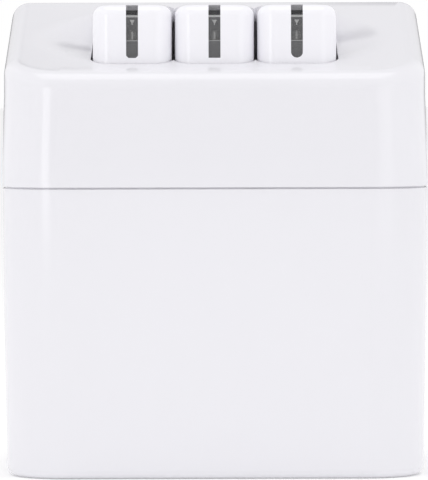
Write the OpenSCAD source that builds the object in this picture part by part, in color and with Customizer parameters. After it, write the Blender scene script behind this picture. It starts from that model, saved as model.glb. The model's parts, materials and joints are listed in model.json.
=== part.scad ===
// Mains charger block with three lit outlet keys on its sloped top, three USB-C
// sockets underneath and a folding two-blade plug in the back.
// Frame: X to the right, Y from the front to the back, Z up from the standing face.

/* [Casing] */
// Width of the cover at the seam
body_w = 65.2; // [64.8:0.1:66]
// Depth from front to back
body_d = 42; // [42:0.1:42.4]
// Height of the shadow groove between the two halves of the casing
seam_z = 44.2; // [43.8:0.1:44.3]
// Width of the shadow groove
seam_gap = 0.3; // [0.2:0.05:0.4]
// Height at which the sloped top meets the front, before rounding
front_h = 61.3; // [61.2:0.1:61.5]
// Tilt of the top, in degrees
top_tilt = 15.8; // [15.5:0.1:16]
// Radius of the upright corners at the front
corner_r = 8.8; // [8.6:0.1:9]
// Radius of the upright corners at the back
back_r = 3; // [2.8:0.1:4]
// Radius of the cover's upper edges
rim_r = 2.4; // [2:0.1:2.6]
// Radius of the standing edge
foot_r = 1.5; // [1:0.1:1.8]
// How far the lower shell narrows down to its foot, each side
draft = 0.55; // [0.3:0.05:0.6]
// Wall thickness
wall = 2; // [1.9:0.05:2.1]

/* [Keys] */
// Width of a key
key_w = 12.1; // [11.9:0.05:12.15]
// Distance from one key to the next
key_pitch = 12.56; // [12.5:0.01:12.6]
// Distance of the keys' front faces behind the front of the casing
key_back = 6.2; // [6.1:0.05:6.3]
// Height of the keys' tops
key_top = 72; // [71.9:0.05:72.1]
// Length of a key from front to back
key_d = 31.8; // [31.6:0.05:31.9]
// Travel of a key
key_travel = 1.5; // [1:0.1:1.5]
// Width of the lamp window
window_w = 1.8; // [1.6:0.1:2]

/* [Plug] */
// Height of the plug's pivot
pivot_z = 34; // [33.8:0.1:34.2]
// Distance between the blades' middle planes
blade_pitch = 12.7; // [12.6:0.05:12.8]
// Thickness of a blade
blade_t = 1.52; // [1.4:0.02:1.6]
// Width of a blade
blade_w = 6.35; // [6.2:0.05:6.4]
// Length of a blade beyond the back face when it is open
blade_out = 17.5; // [16.5:0.1:17.6]

/* [Sockets] */
// Distance from one socket to the next
port_pitch = 16; // [15.8:0.1:16.2]
// Width of a socket's metal shell
port_w = 8.94; // [8.9:0.02:9]
// Thickness of a socket's metal shell
port_t = 3.2; // [3.1:0.02:3.24]

/* [Hidden] */
$fn = 48;
eps = 0.01;

// Casing
front_y = -body_d / 2;
back_y = body_d / 2;
overhang = 0.14;
shell_top = seam_z - seam_gap / 2;
cover_foot = seam_z + seam_gap / 2;
cover_taper = 0.4;
inner_w = body_w - 2 * (wall + 0.2);
inner_d = body_d - 2 * (wall + 0.2);
inner_r = corner_r - wall;
lip_low = seam_z - 3.2;
lip_clear = 0.1;
lip_t = 1;
roof_drop = wall / cos(top_tilt);
post_x = 25.2;
post_y = 14;
post_r = 3.2;
post_low = 6;
screw_r = 1.25;
dent_r = 62;
dent_deep = 1.2;
dent_run = 7.2;

// Keys, counted from the left
LEFT = -1;
CENTRE = 0;
RIGHT = 1;
key_front = front_y + key_back;
key_low = 58.9;
key_wall = 1.4;
key_side_r = 2.7;
key_top_r = 1.7;
key_gap = 0.35;
front_gap = 0.15;
window_low = 63.9;
window_run = 7;
leg_r = 1.4;
leg_front_y = -6.5;
leg_back_y = 13.5;
leg_low = 51.5;
running_gap = 0.05;
plunger_y = 3;
plunger_r = 1.8;
saddle_z = 66;
lamp_r = 1.05;
lamp_y = key_front + key_wall + 1.5;
lamp_low = 66.5;
lamp_tip = 69.7;
holder_d = 4.2;

// Switch deck under the keys
guide_low = 54.5;
guide_top = key_low - key_travel - 0.4;
deck_low = 44.6;
deck_top = 46.2;
column_x = 22.8;
column_y = 6.5;
column_r = 2.4;
small_r = 0.8;
switch_top = 53.5;
switch_w = 9.6;
plunger_low = deck_top + 1.8 + key_travel;

// Main board, standing across the casing with its parts towards the front
board_y = 5.4;
board_t = 1.6;
board_low = 12.5;
board_top = 42.5;
board_half = 28.6;

// Sockets
port_y = -9;
port_low = 0.3;
plate_w = 43;
plate_d = 9;
plate_t = 1;
usb_low = 8.6;
usb_top = 9.8;
usb_post_x = 19.5;
usb_post_y = [-13.5, -3.5];

// Plug
pivot_y = 16.4;
barrel_r = 4.2;
barrel_half = 9.6;
journal_r = 1.6;
journal_half = 12.2;
cup_half = 12.6;
cup_front = 8.2;
cup_back = back_y - 0.2;
cup_low = 9;
cup_top = 40;
blade_skin = 0.7;
blade_in = blade_w - (back_y - blade_skin - pivot_y);
blade_reach = back_y - pivot_y + blade_out;
tail_r = 4.9;
tail_half = 1.5;
slot_t = 2.3;

function roof_z(y) = front_h + (y - front_y) * tan(top_tilt);
function key_x(place) = place * key_pitch;
function port_x(place) = place * port_pitch;

// Rounded rectangle with true arcs at its corners
module outline(w, d, r) {
    square([w - 2 * r, d], center = true);
    square([w, d - 2 * r], center = true);
    for (sx = [-1, 1], sy = [-1, 1])
        translate([sx * (w / 2 - r), sy * (d / 2 - r)]) circle(r);
}

module block(w, d, r, low, high) {
    translate([0, 0, low]) linear_extrude(high - low) outline(w, d, r);
}

// Box given by its lowest and highest corners
module span(a, b) {
    translate(a) cube(b - a);
}

module rod(x, y, low, high, r) {
    translate([x, y, low]) cylinder(h = high - low, r = r);
}

// One level of a casing half: inset from the sides and the front, and from the back
module level(z, inset, back_inset = 0) {
    half = body_w / 2 - inset;
    for (sx = [-1, 1]) {
        translate([sx * (half - corner_r), front_y + corner_r + inset, z])
            cylinder(h = eps, r = corner_r, $fn = 32);
        translate([sx * (half - back_r), back_y - back_r - back_inset, z])
            cylinder(h = eps, r = back_r, $fn = 32);
    }
}

// Everything below a plane parallel to the sloped top
module under_roof(drop) {
    translate([0, front_y, front_h - drop]) rotate([top_tilt, 0, 0])
        translate([-body_w, -body_d, -2 * body_w]) cube([2 * body_w, 3 * body_d, 2 * body_w]);
}

module shell_outside() {
    hull() {
        for (a = [0:22.5:90])
            level(foot_r * (1 - cos(a)), overhang + draft + foot_r * (1 - sin(a)), foot_r * (1 - sin(a)));
        for (t = [0:0.2:0.8])
            level(foot_r + (shell_top - foot_r - eps) * (t + 0.2), overhang + draft * pow(0.8 - t, 2));
    }
}

module cover_outside() {
    rim_drop = rim_r / cos(top_tilt);
    hull() {
        for (t = [0:0.25:1])
            level(cover_foot + t * (front_h - rim_r - 1 - cover_foot), cover_taper * pow(t, 1.5));
        for (sx = [-1, 1], sy = [-1, 1], a = [0:15:90]) {
            inset = sy < 0 ? cover_taper : 0;
            r = sy < 0 ? corner_r : back_r;
            x = body_w / 2 - r - cover_taper + (r - rim_r) * cos(a);
            y = body_d / 2 - r - inset + (r - rim_r) * sin(a);
            translate([sx * x, sy * y, roof_z(sy * y) - rim_drop]) sphere(rim_r, $fn = 20);
        }
    }
}

module body_shell() {
    color("white") difference() {
        union() {
            difference() {
                shell_outside();
                block(inner_w, inner_d, inner_r, wall, seam_z + 1);
            }
            for (sx = [-1, 1], sy = [-1, 1]) rod(sx * post_x, sy * post_y, wall / 2, post_low, post_r);
            for (sx = [-1, 1], y = usb_post_y) rod(sx * usb_post_x, y, wall / 2, usb_low, 2);
            board_rails();
        }
        for (sx = [-1, 1], sy = [-1, 1]) {
            rod(sx * post_x, sy * post_y, -1, post_low + 1, screw_r + 0.2);
            rod(sx * post_x, sy * post_y, -1, 3, 3);
        }
        for (sx = [-1, 1], y = usb_post_y) rod(sx * usb_post_x, y, 4, usb_low + 1, small_r);
        span([-cup_half - 0.1, inner_d / 2 - 1, cup_low - 0.1], [cup_half + 0.1, back_y + 1, cup_top + 0.1]);
        translate([0, port_y, 0]) block(plate_w + 0.2, plate_d + 0.2, 2.1, -1, plate_t + 0.02);
        for (place = [LEFT:RIGHT])
            translate([port_x(place), port_y, 0]) block(port_w + 0.5, port_t + 0.5, 1.8, -1, wall + 1);
    }
}

// Grooves in the side walls that hold the main board's edges, with a shelf under each
module board_rails() {
    for (side = [0, 1]) mirror([side, 0, 0]) {
        span([27.6, 3.8, wall - 1], [inner_w / 2 + 0.2, 8.6, board_low - 0.1]);
        span([27.6, 3.8, board_low - 0.2], [inner_w / 2 + 0.2, board_y - 0.1, lip_low - 0.4]);
        span([27.6, board_y + board_t + 0.1, board_low - 0.2], [inner_w / 2 + 0.2, 8.6, lip_low - 0.4]);
    }
}

module top_cover() {
    lip_w = inner_w - 2 * lip_clear;
    lip_d = inner_d - 2 * lip_clear;
    lip_r = inner_r - lip_clear;
    color("white") difference() {
        union() {
            difference() {
                union() {
                    cover_outside();
                    block(inner_w + 2, inner_d + 2, inner_r + 1, shell_top, seam_z + 1);
                    block(lip_w, lip_d, lip_r, lip_low, seam_z + 1);
                }
                block(lip_w - 2 * lip_t, lip_d - 2 * lip_t, lip_r - lip_t, lip_low - 1, seam_z + 1);
                intersection() {
                    block(inner_w, inner_d, inner_r, seam_z + 0.5, front_h + body_d);
                    under_roof(roof_drop);
                }
            }
            for (sx = [-1, 1], sy = [-1, 1])
                rod(sx * post_x, sy * post_y, post_low, roof_z(sy * post_y) - 1, post_r);
            for (sx = [-1, 1], sy = [-1, 1])
                rod(sx * column_x, sy * column_y, guide_top, roof_z(sy * column_y) - 1.5, column_r);
        }
        for (place = [LEFT:RIGHT]) key_opening(place);
        for (side = [0, 1]) mirror([side, 0, 0]) finger_dent();
        for (sx = [-1, 1], sy = [-1, 1]) {
            rod(sx * post_x, sy * post_y, post_low - 1, 18, screw_r);
            rod(sx * column_x, sy * column_y, guide_top - 1, 61.2, small_r);
        }
    }
}

// An opening around each key; neighbouring openings run into each other between the keys
module key_opening(place) {
    d = key_d + front_gap + key_gap;
    translate([key_x(place), key_front - front_gap + d / 2, 0])
        block(key_w + 2 * key_gap, d, key_side_r + key_gap, key_low, key_top + 10);
}

// Shallow scoop in the slope beside the keys, deepest at the keys
module finger_dent() {
    edge = key_pitch + key_w / 2 + key_gap;
    translate([edge, 0, roof_z(0)]) rotate([top_tilt, 0, 0]) rotate([0, -atan(dent_deep / dent_run), 0])
        translate([-2, 0, dent_r - dent_deep]) rotate([0, 90, 0])
            cylinder(h = dent_run + 4, r = dent_r, $fn = 96);
}

module port_plate() {
    color("lightgray") difference() {
        translate([0, port_y, 0]) block(plate_w, plate_d, 2, 0.02, plate_t);
        for (place = [LEFT:RIGHT])
            translate([port_x(place), port_y, 0]) block(port_w + 0.3, port_t + 0.3, 1.7, -1, 2);
    }
}

// Pan-head screw with its head on the z plane and its shank upwards
module screw(head_r, head_h, shank_r, length) {
    difference() {
        translate([0, 0, -head_h]) cylinder(h = head_h, r = head_r);
        for (turn = [0, 90]) rotate(turn)
            span([-head_r * 0.6, -head_r * 0.12, -head_h - 1], [head_r * 0.6, head_r * 0.12, -head_h / 2]);
    }
    translate([0, 0, -eps]) cylinder(h = length, r = shank_r);
}

module casing_screws() {
    color("silver") for (sx = [-1, 1], sy = [-1, 1])
        translate([sx * post_x, sy * post_y, 3]) screw(2.75, 2, screw_r, 13);
}

// Keys

// The key seen from the side, drawn with y across and z up
module key_side() {
    translate([key_front, key_low]) square([key_d, key_top - key_low - key_top_r]);
    translate([key_front + key_top_r, key_low]) square([key_d - 2 * key_top_r, key_top - key_low]);
    for (y = [key_front + key_top_r, key_front + key_d - key_top_r])
        translate([y, key_top - key_top_r]) circle(key_top_r);
}

// Turns a drawing of y and z into a solid of width w about the middle plane
module across(w) {
    rotate([90, 0, 90]) translate([0, 0, -w / 2]) linear_extrude(w) children();
}

module key_outside() {
    mid_y = key_front + key_d / 2;
    intersection() {
        translate([0, mid_y, 0]) block(key_w, key_d, key_side_r, key_low, key_top);
        across(key_w + 1) key_side();
        translate([0, key_front - 1, 0]) rotate([90, 0, 0]) mirror([0, 0, 1])
            linear_extrude(key_d + 2) key_face();
    }
}

// The key seen from the front
module key_face() {
    translate([-key_w / 2, key_low]) square([key_w, key_top - key_low - key_top_r]);
    translate([-key_w / 2 + key_top_r, key_low]) square([key_w - 2 * key_top_r, key_top - key_low]);
    for (side = [-1, 1]) translate([side * (key_w / 2 - key_top_r), key_top - key_top_r]) circle(key_top_r);
}

// The strip that the window fills: up the front and over the top edge
module window_strip() {
    across(window_w) difference() {
        intersection() {
            key_side();
            translate([key_front - 1, window_low]) square([window_run + 1, key_top]);
        }
        translate([key_front + key_wall, key_low - 1])
            square([key_d, key_top - key_wall - key_low + 1]);
    }
}

// The window's foot is bevelled on the left key, square on the centre one and round on the right one
module window_shape(place) {
    half = window_w / 2;
    difference() {
        window_strip();
        if (place == LEFT) for (side = [-1, 1]) translate([side * half, 0, window_low]) rotate([0, 45, 0])
            cube([0.5, 100, 0.5], center = true);
        if (place == RIGHT) difference() {
            span([-half - 1, -30, window_low - 1], [half + 1, 0, window_low + half]);
            translate([0, -31, window_low + half]) rotate([-90, 0, 0]) cylinder(h = 40, r = half);
        }
    }
}

module key(place) {
    color("white") translate([key_x(place), 0, 0]) {
        difference() {
            key_outside();
            translate([0, key_front + key_d / 2, 0])
                block(key_w - 2 * key_wall, key_d - 2 * key_wall, 1, key_low - 1, key_top - key_wall);
            window_shape(place);
        }
        for (y = [leg_front_y, leg_back_y]) rod(0, y, leg_low, key_top - key_wall + 0.2, leg_r);
        rod(0, plunger_y, saddle_z, key_top - key_wall + 0.2, 3.4);
        span([-4.5, key_front - 1.1, key_low], [4.5, key_front + 0.5, key_low + 1.2]);
        span([-4.5, key_front + key_d - 0.5, 68], [4.5, key_front + key_d + 1, 69.1]);
    }
}

module window(place) {
    color("dimgray") translate([key_x(place), 0, 0]) window_shape(place);
}

// Glass lamp standing in its holder, with a pointed tip
module lamp(place) {
    color("lightyellow") translate([key_x(place), lamp_y, 0]) {
        rod(0, 0, lamp_low, lamp_tip - 1, lamp_r);
        translate([0, 0, lamp_tip - 1]) cylinder(h = 0.7, r1 = lamp_r, r2 = 0.35);
        translate([0, 0, lamp_tip - 0.4]) sphere(0.4);
    }
}

// Dark block behind the window with a seat for the lamp and a rib up to the key's roof
module lamp_holder(place) {
    front = key_front + key_wall;
    roof = key_top - key_wall;
    color("darkslategray") translate([key_x(place), 0, 0]) {
        span([-2.4, front, 61], [2.4, front + holder_d, lamp_low]);
        span([-2.4, front + 3, 61], [2.4, front + holder_d, roof]);
        for (side = [0, 1]) mirror([side, 0, 0]) span([1.6, front, 61], [2.4, front + holder_d, roof]);
    }
}

module plunger(place) {
    color("gray") rod(key_x(place), plunger_y, plunger_low, saddle_z, plunger_r);
}

// Coil spring of round wire, swept along its helix
module key_spring(place) {
    wire = 0.25;
    coil = 2.6;
    turns = 6;
    steps = 14;
    sides = 8;
    low = guide_top + wire;
    rise = saddle_z - guide_top - 2 * wire;
    rings = turns * steps;
    pts = [for (i = [0:rings], s = [0:sides - 1])
        let (a = 360 * i / steps, b = 360 * s / sides, r = coil + wire * cos(b))
        [r * cos(a), r * sin(a), low + rise * i / rings + wire * sin(b)]];
    faces = concat(
        [[for (s = [0:sides - 1]) s]],
        [for (i = [0:rings - 1], s = [0:sides - 1])
            let (a = i * sides + s, b = i * sides + (s + 1) % sides) [b, a, a + sides, b + sides]],
        [[for (s = [sides - 1:-1:0]) rings * sides + s]]);
    color("silver") translate([key_x(place), plunger_y, 0]) polyhedron(pts, faces);
}

module switch(place) {
    half = switch_w / 2;
    color("black") translate([key_x(place), plunger_y, 0]) difference() {
        span([-half, -half, deck_top], [half, half, switch_top]);
        rod(0, 0, deck_top + 1.3, switch_top + 1, plunger_r + running_gap);
    }
}

// Plate that guides the keys' legs, with columns down to the switch board
module key_guide() {
    color("whitesmoke") difference() {
        union() {
            block(41, 33, 1, guide_low, guide_top);
            block(51, 18, 1, guide_low, guide_top);
            for (sx = [-1, 1], sy = [-1, 1])
                rod(sx * column_x, sy * column_y, deck_top, guide_low + 1, column_r);
        }
        for (place = [LEFT:RIGHT]) {
            for (y = [leg_front_y, leg_back_y])
                rod(key_x(place), y, guide_low - 1, guide_top + 1, leg_r + running_gap);
            rod(key_x(place), plunger_y, guide_low - 1, guide_top + 1, plunger_r + 0.3);
        }
        for (sx = [-1, 1], sy = [-1, 1])
            rod(sx * column_x, sy * column_y, deck_top - 1, guide_top + 1, small_r + 0.25);
    }
}

module switch_board() {
    color("darkgreen") difference() {
        block(51, 20, 1, deck_low, deck_top);
        for (sx = [-1, 1], sy = [-1, 1])
            rod(sx * column_x, sy * column_y, deck_low - 1, deck_top + 1, small_r + 0.25);
    }
}

module guide_screws() {
    color("silver") for (sx = [-1, 1], sy = [-1, 1])
        translate([sx * column_x, sy * column_y, deck_low]) screw(1.7, 1.2, small_r, 16);
}

// Main board and its parts

// Places a part on the board's front face, with its height pointing forwards
module on_board(x, z) {
    translate([x, board_y, z]) rotate([90, 0, 0]) children();
}

module main_board() {
    color("darkgreen")
        span([-board_half, board_y, board_low], [board_half, board_y + board_t, board_top]);
}

module transformer_core() {
    color("dimgray") on_board(12, 27) difference() {
        span([-8, -10, 1], [8, 10, 15]);
        for (side = [0, 1]) mirror([0, side, 0]) span([-8.1, 3, 3.5], [8.1, 7.5, 12.5]);
    }
}

module transformer_winding() {
    color("gold") on_board(12, 27) difference() {
        union() {
            span([-8.6, -7.4, 3.6], [8.6, 7.4, 12.4]);
            for (side = [0, 1]) mirror([side, 0, 0]) span([8.1, -9, 0], [8.6, 9, 13]);
        }
        span([-9, -3, 3.5], [9, 3, 12.5]);
    }
}

// Electrolytic capacitor with a groove near its foot
module can(r, height) {
    difference() {
        cylinder(h = height, r = r);
        translate([0, 0, 1.6]) rotate_extrude() translate([r, 0]) circle(0.5);
    }
}

module bulk_capacitors() {
    color("midnightblue") for (z = [19.5, 31]) on_board(-8.4, z) can(5, 19);
}

module bridge_rectifier() {
    color("black") on_board(-8.5, 39.4) span([-4.5, -2, 0], [4.5, 2, 8]);
}

module fuse() {
    color("tan") translate([-26, board_y - 2, 39.5]) rotate([0, 90, 0]) cylinder(h = 9, r = 1.9);
}

module mains_filter_capacitor() {
    color("gold") on_board(-21, 32.5) block(12, 7, 0.8, 0, 11);
}

module filter_choke() {
    color("peru") on_board(-21, 20.5) translate([0, 0, 3]) rotate_extrude() translate([4.2, 0]) circle(2.4);
}

module safety_capacitor() {
    color("royalblue") on_board(12, 14.6) translate([0, 1.2, 5]) rotate([90, 0, 0]) cylinder(h = 2.4, r = 4.6);
}

module power_transistor() {
    color("black") on_board(-0.2, 27) difference() {
        span([-2, -5, 1], [2.1, 5, 16]);
        translate([-3, 0, 13]) rotate([0, 90, 0]) cylinder(h = 6, r = 1.6);
    }
}

module heat_sink() {
    color("silver") on_board(2, 27) union() {
        span([0, -11, 0], [1, 11, 17]);
        span([-2.6, 10, 0], [1, 11, 17]);
        span([-2.6, -11, 0], [1, -10, 17]);
    }
}

module output_capacitors() {
    color("darkgreen") for (z = [17.6, 26.4, 35.2]) on_board(24.1, z) can(3.3, 12);
}

module optocoupler() {
    color("black") on_board(12, 40) span([-3.3, -1.6, 0], [3.3, 1.6, 3.5]);
}

module insulating_sheet() {
    color("ivory") span([-24, board_y + board_t + 0.4, 13], [24, board_y + board_t + 0.8, 39.5]);
}

// Flat cable that turns from the main board up to the switch board
module ribbon_cable() {
    bend = 3.8;
    half = 3.6;
    color("lightgray") translate([23.2, 0, 0]) intersection() {
        translate([-half, board_y, deck_low]) rotate([0, 90, 0]) difference() {
            cylinder(h = 2 * half, r = bend);
            translate([0, 0, -1]) cylinder(h = 2 * half + 2, r = bend - 0.6);
        }
        span([-half - 1, board_y - 10, deck_low - 10], [half + 1, board_y, deck_low]);
    }
}

// Pins that carry the output from the main board to the socket board
module link_pins() {
    color("gold") for (i = [-4:1]) translate([i * 2.54, 0, 0]) {
        span([-0.3, -2.8, usb_top], [0.3, -2.2, board_low + 1.6]);
        span([-0.3, -2.8, board_low + 1], [0.3, board_y, board_low + 1.6]);
    }
}

// Socket board, sockets

module usb_board() {
    color("darkgreen") difference() {
        span([-21.5, -16, usb_low], [21.5, -1, usb_top]);
        for (sx = [-1, 1], y = usb_post_y)
            rod(sx * usb_post_x, y, usb_low - 1, usb_top + 1, small_r + 0.2);
    }
}

module usb_board_screws() {
    color("silver") for (sx = [-1, 1], y = usb_post_y)
        translate([sx * usb_post_x, y, usb_top]) mirror([0, 0, 1]) screw(1.6, 1.1, small_r, 5);
}

module port_shell(place) {
    color("silver") translate([port_x(place), port_y, 0]) difference() {
        block(port_w, port_t, port_t / 2 - 0.02, port_low, usb_low);
        block(port_w - 0.6, port_t - 0.6, port_t / 2 - 0.32, port_low - 1, usb_low + 1);
    }
}

// Insulating block at the socket's root with its contact tongue
module port_tongue(place) {
    color("black") translate([port_x(place), port_y, 0]) {
        block(port_w - 0.64, port_t - 0.64, port_t / 2 - 0.34, usb_low - 1.8, usb_low);
        span([-3.35, -0.35, port_low + 1], [3.35, 0.35, usb_low - 1.7]);
    }
}

// Folding plug

// Moves a drawing of the plug's side view, with y across and z up about the pivot, into place
module about_pivot(x, w) {
    translate([x, pivot_y, pivot_z]) across(w) children();
}

// A blade with its tail, hanging down as when the plug is folded
module blade_side() {
    tip = 1.2;
    out = blade_w - blade_in;
    tail = sqrt(pow(tail_r, 2) - pow(tail_half, 2));
    polygon([[-blade_in, 1], [-tail_half, 1], [-tail_half, tail], [tail_half, tail], [tail_half, 1],
        [out, 1], [out, tip - blade_reach], [out - tip, -blade_reach],
        [tip - blade_in, -blade_reach], [-blade_in, tip - blade_reach]]);
}

module blade(side) {
    hole_up = blade_reach - 5.8;
    color("silver") difference() {
        about_pivot(side * blade_pitch / 2, blade_t) blade_side();
        translate([side * blade_pitch / 2 - 2, pivot_y + blade_w / 2 - blade_in, pivot_z - hole_up])
            rotate([0, 90, 0]) cylinder(h = 4, r = 1.6);
    }
}

// A cylinder along X about the pivot
module axle(r, half) {
    translate([-half, pivot_y, pivot_z]) rotate([0, 90, 0]) cylinder(h = 2 * half, r = r);
}

module plug_barrel() {
    color("gainsboro") difference() {
        union() {
            axle(barrel_r, barrel_half);
            axle(journal_r, journal_half);
        }
        for (side = [-1, 1]) about_pivot(side * blade_pitch / 2, blade_t) blade_side();
    }
}

// Insert in the back wall with the barrel's cradle, the slots that hide the blades and a finger notch
module plug_cup() {
    color("gainsboro") difference() {
        span([-cup_half, cup_front, cup_low], [cup_half, cup_back, cup_top]);
        axle(barrel_r + 0.3, barrel_half + 0.2);
        axle(journal_r + running_gap, journal_half + 0.1);
        span([-barrel_half - 0.2, pivot_y, pivot_z - 4.5], [barrel_half + 0.2, back_y + 1, pivot_z + 4.5]);
        for (side = [-1, 1]) translate([side * blade_pitch / 2, 0, 0]) {
            span([-slot_t / 2, pivot_y - blade_in - 0.4, cup_low + 1], [slot_t / 2, back_y + 1, pivot_z + 4.7]);
            translate([-slot_t / 2, pivot_y, pivot_z]) rotate([0, 90, 0]) cylinder(h = slot_t, r = tail_r + 0.3);
            span([-1.7, 10.4, 27], [1.7, 11.5, cup_top + 1]);
        }
        span([-8, 17.4, 12], [8, back_y + 1, 19.5]);
        span([-2.4, 11.3, 27.5], [2.4, 13, 40.5]);
    }
}

module contact_springs() {
    color("gold") for (side = [-1, 1]) translate([side * blade_pitch / 2, 0, 0])
        span([-1.5, 11.05, 27.2], [1.5, 11.45, board_top + 0.6]);
}

module mains_leads() {
    color("red") for (side = [-1, 1])
        translate([side * blade_pitch / 2, board_y + board_t, 41.3]) rotate([-90, 0, 0])
            cylinder(h = 11.05 - board_y - board_t, r = 0.8);
}

module detent_spring() {
    color("silver") span([-2, 11.6, 27.8], [2, 11.95, cup_top]);
}

body_shell();
top_cover();
port_plate();
casing_screws();
key(LEFT);  // key_left
key(CENTRE);  // key_centre
key(RIGHT);  // key_right
window(LEFT);  // window_left
window(CENTRE);  // window_centre
window(RIGHT);  // window_right
lamp(LEFT);  // lamp_left
lamp(CENTRE);  // lamp_centre
lamp(RIGHT);  // lamp_right
lamp_holder(LEFT);  // lamp_holder_left
lamp_holder(CENTRE);  // lamp_holder_centre
lamp_holder(RIGHT);  // lamp_holder_right
plunger(LEFT);  // plunger_left
plunger(CENTRE);  // plunger_centre
plunger(RIGHT);  // plunger_right
key_spring(LEFT);  // key_spring_left
key_spring(CENTRE);  // key_spring_centre
key_spring(RIGHT);  // key_spring_right
switch(LEFT);  // switch_left
switch(CENTRE);  // switch_centre
switch(RIGHT);  // switch_right
key_guide();
switch_board();
guide_screws();
main_board();
transformer_core();
transformer_winding();
bulk_capacitors();
bridge_rectifier();
fuse();
mains_filter_capacitor();
filter_choke();
safety_capacitor();
power_transistor();
heat_sink();
output_capacitors();
optocoupler();
insulating_sheet();
ribbon_cable();
link_pins();
usb_board();
usb_board_screws();
port_shell(LEFT);  // port_shell_left
port_shell(CENTRE);  // port_shell_centre
port_shell(RIGHT);  // port_shell_right
port_tongue(LEFT);  // port_tongue_left
port_tongue(CENTRE);  // port_tongue_centre
port_tongue(RIGHT);  // port_tongue_right
plug_cup();
plug_barrel();
blade(LEFT);  // blade_left
blade(RIGHT);  // blade_right
contact_springs();
mains_leads();
detent_spring();
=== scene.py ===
"""Gloss white wall charger with three lit outlet keys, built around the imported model.

The casing, keys, windows, lamps, plug and sockets are modelled here in millimetres and handed
over in metres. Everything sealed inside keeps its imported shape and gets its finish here.
"""

from __future__ import annotations

import json
import logging
import math
from dataclasses import dataclass, field
from enum import Enum
from typing import Any, Iterable, Optional, Sequence

import bmesh
import bpy
from bmesh.types import BMEdge, BMFace, BMVert
from mathutils import Matrix, Vector

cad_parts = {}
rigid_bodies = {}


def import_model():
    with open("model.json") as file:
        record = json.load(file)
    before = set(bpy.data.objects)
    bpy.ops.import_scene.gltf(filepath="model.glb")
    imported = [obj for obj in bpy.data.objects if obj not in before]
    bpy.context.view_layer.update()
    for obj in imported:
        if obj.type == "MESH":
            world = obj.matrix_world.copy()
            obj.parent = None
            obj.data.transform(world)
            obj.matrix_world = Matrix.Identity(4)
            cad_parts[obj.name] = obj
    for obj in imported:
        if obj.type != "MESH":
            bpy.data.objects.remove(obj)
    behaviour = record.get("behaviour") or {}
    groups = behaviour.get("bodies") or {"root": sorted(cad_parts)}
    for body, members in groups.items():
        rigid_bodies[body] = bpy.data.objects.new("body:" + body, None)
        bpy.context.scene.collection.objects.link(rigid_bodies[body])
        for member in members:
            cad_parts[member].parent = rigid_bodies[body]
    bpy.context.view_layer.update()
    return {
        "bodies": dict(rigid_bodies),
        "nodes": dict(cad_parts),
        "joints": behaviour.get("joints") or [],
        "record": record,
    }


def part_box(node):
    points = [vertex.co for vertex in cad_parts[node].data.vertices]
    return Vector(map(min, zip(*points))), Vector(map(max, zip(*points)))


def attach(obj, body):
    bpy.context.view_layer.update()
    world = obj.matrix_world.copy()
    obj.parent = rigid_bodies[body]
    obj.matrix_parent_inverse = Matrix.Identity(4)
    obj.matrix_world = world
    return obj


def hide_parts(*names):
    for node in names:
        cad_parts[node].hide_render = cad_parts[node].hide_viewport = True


LOG = logging.getLogger("charger")
MM = 0.001
UP = Vector((0.0, 0.0, 1.0))
RIGHT = Vector((1.0, 0.0, 0.0))
BACK = Vector((0.0, 1.0, 0.0))
Plane = tuple[Vector, Vector]


class Place(Enum):
    """Where a key or a socket stands, counted from the left seen from the front."""

    LEFT = -1
    CENTRE = 0
    RIGHT = 1

    @property
    def word(self) -> str:
        """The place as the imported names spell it."""
        return self.name.lower()


class WindowFoot(Enum):
    """The shape of a lamp window's lower end."""

    BEVELLED = "bevelled"
    SQUARE = "square"
    ROUND = "round"


# ---------------------------------------------------------------------------------------------
# Shader building
# ---------------------------------------------------------------------------------------------


class Sock:
    """A value socket that does arithmetic by adding Math nodes."""

    def __init__(self, graph: "Graph", socket: bpy.types.NodeSocket) -> None:
        """Wraps an output socket.

        Args:
            graph: The node graph the socket is in.
            socket: The output socket.
        """
        self.graph = graph
        self.socket = socket

    def _math(self, operation: str, first: Any, second: Any) -> "Sock":
        """Adds one Math node.

        Args:
            operation: The Math node's operation.
            first: The first operand.
            second: The second operand.

        Returns:
            The node's result.
        """
        return self.graph.node("ShaderNodeMath", {"operation": operation}, {0: first, 1: second}).out()

    def __add__(self, other: Any) -> "Sock":
        """self + other."""
        return self._math("ADD", self, other)

    __radd__ = __add__

    def __sub__(self, other: Any) -> "Sock":
        """self - other."""
        return self._math("SUBTRACT", self, other)

    def __rsub__(self, other: Any) -> "Sock":
        """other - self."""
        return self._math("SUBTRACT", other, self)

    def __mul__(self, other: Any) -> "Sock":
        """self * other."""
        return self._math("MULTIPLY", self, other)

    __rmul__ = __mul__

    def __gt__(self, other: Any) -> "Sock":
        """1 where self is above other, else 0."""
        return self._math("GREATER_THAN", self, other)


class Made:
    """A node that has just been made."""

    def __init__(self, graph: "Graph", node: bpy.types.Node) -> None:
        """Wraps a node.

        Args:
            graph: The node graph the node is in.
            node: The node.
        """
        self.graph = graph
        self.node = node

    def out(self, name: Any = 0) -> Sock:
        """The output socket of that name or number."""
        return Sock(self.graph, self.node.outputs[name])


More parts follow.
